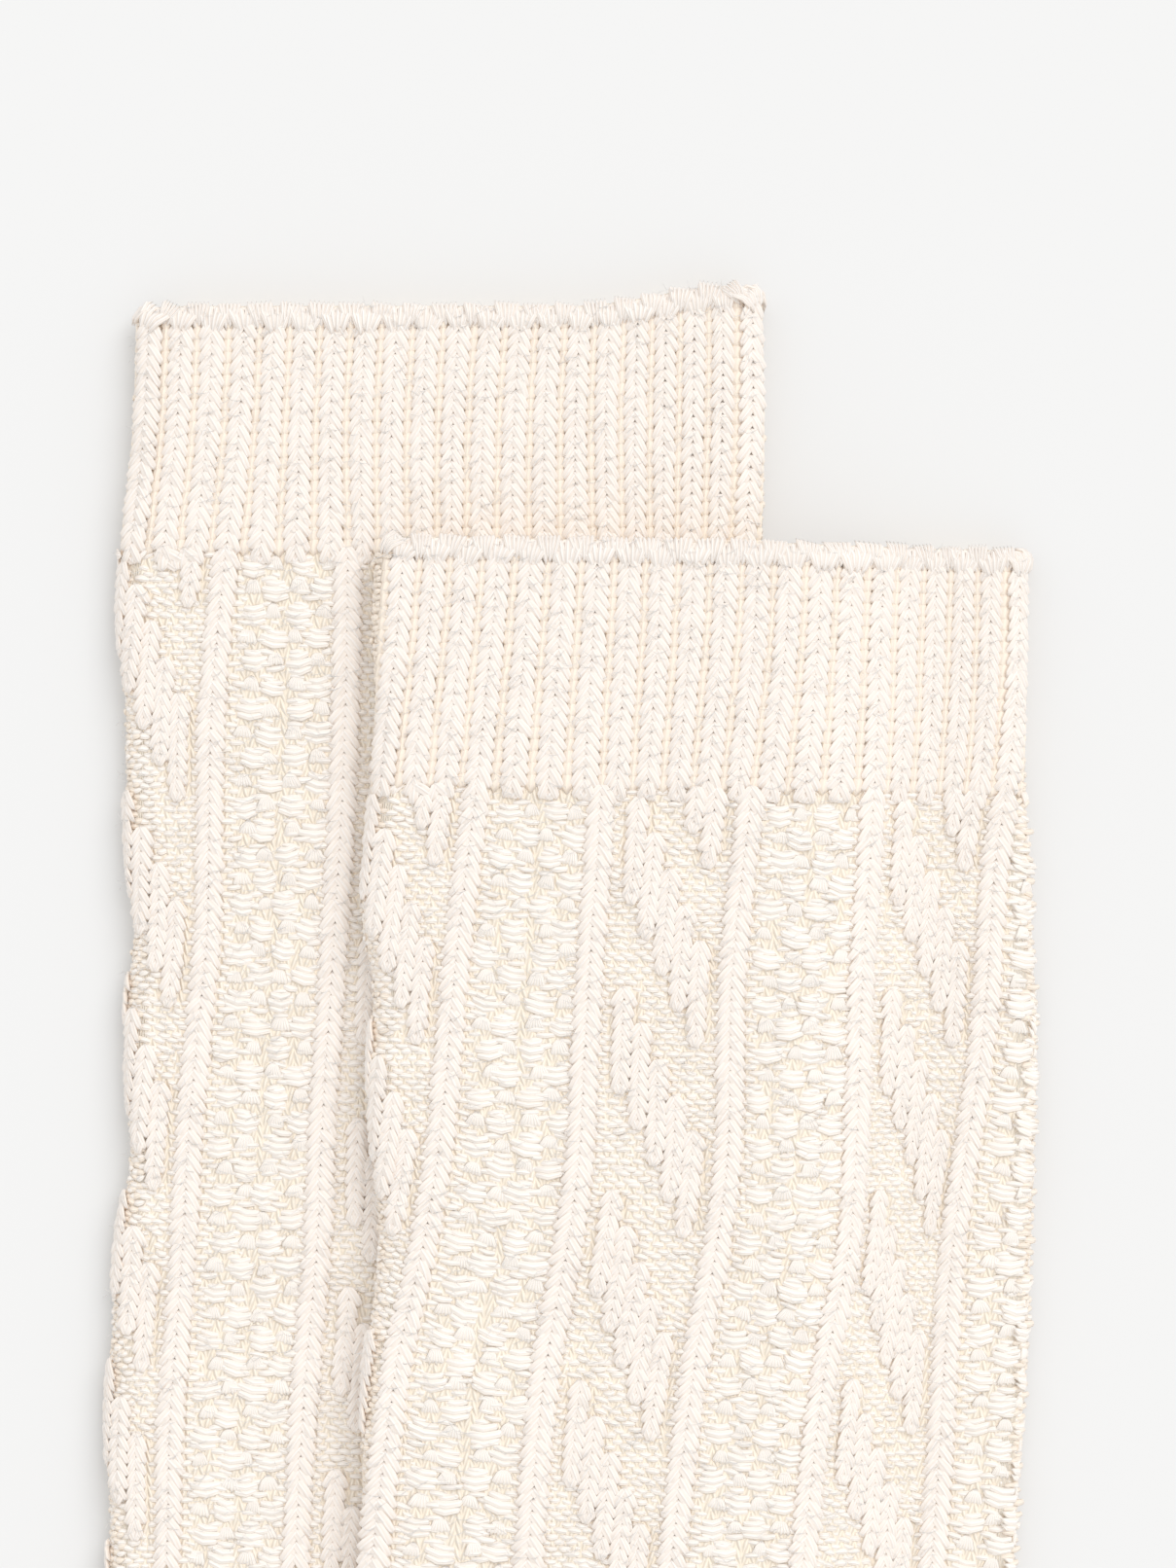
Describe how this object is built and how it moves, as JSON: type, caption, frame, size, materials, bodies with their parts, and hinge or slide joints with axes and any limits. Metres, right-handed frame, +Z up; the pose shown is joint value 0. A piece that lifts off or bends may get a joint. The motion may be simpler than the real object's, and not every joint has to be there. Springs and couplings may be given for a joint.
{
  "type": "pair of cable knit socks",
  "caption": "Pair of cable knit socks with ribbed cuffs and turned heels, lying flat and partly overlapping.",
  "frame": {"origin": "centre of the pair's base, on the surface that it lies on", "axes": "+Y from the feet to the cuffs, +X from the toes to the heels, +Z up from the surface"},
  "size_m": [0.2666, 0.3068, 0.0147],
  "materials": {
    "sock_under_yarn": "soft matte cream cotton yarn",
    "sock_over_yarn": "soft matte cream cotton yarn"
  },
  "bodies": {
    "root": {"sock_under": "sock_under_yarn", "sock_over": "sock_over_yarn"}
  },
  "joints": []
}
